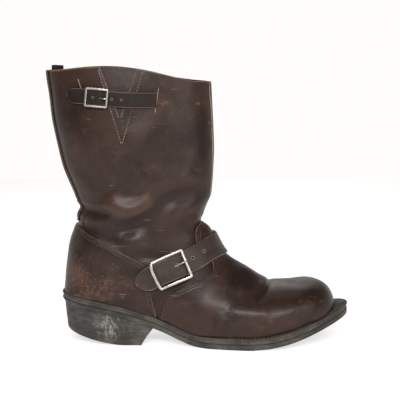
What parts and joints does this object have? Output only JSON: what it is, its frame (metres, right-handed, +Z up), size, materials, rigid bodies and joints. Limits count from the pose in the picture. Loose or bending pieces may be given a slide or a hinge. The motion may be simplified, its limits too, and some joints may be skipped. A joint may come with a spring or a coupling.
{
  "type": "engineer boot",
  "caption": "Pull-on leather engineer boot with a buckled instep strap, a buckled collar strap over a V slit, a welted rubber sole and a worn block heel.",
  "frame": {"origin": "middle of the flat that the heel stands on, at floor level", "axes": "+X from heel to toe, +Y towards the inner (medial) side, +Z up"},
  "size_m": [0.3301, 0.1111, 0.3026],
  "materials": {
    "leather": "worn oiled brown, satin, scuffed",
    "strap_leather": "worn oiled dark brown, satin",
    "gusset_leather": "worn oiled brown, satin",
    "lining_leather": "dark, matt, worn smooth",
    "footbed_leather": "matt, darkened by wear",
    "welt_leather": "matt, dusty, grey-brown",
    "midsole_leather": "matt, stained dark",
    "sole_rubber": "matt, scuffed",
    "heel_rubber": "matt, scuffed pale along the side",
    "steel": "worn nickel plate, satin"
  },
  "bodies": {
    "root": {"outsole": "sole_rubber", "heel": "heel_rubber", "midsole": "midsole_leather", "welt": "welt_leather", "insole": "footbed_leather", "upper": "leather", "vamp": "leather", "counter": "leather", "back_strip": "leather", "gusset": "gusset_leather", "collar_facing": "lining_leather", "pull_strap": "lining_leather", "instep_strap": "strap_leather", "instep_tab": "strap_leather", "instep_buckle": "steel", "instep_prong": "steel", "top_strap": "strap_leather", "top_tab": "strap_leather", "top_buckle": "steel", "top_prong": "steel"}
  },
  "joints": []
}
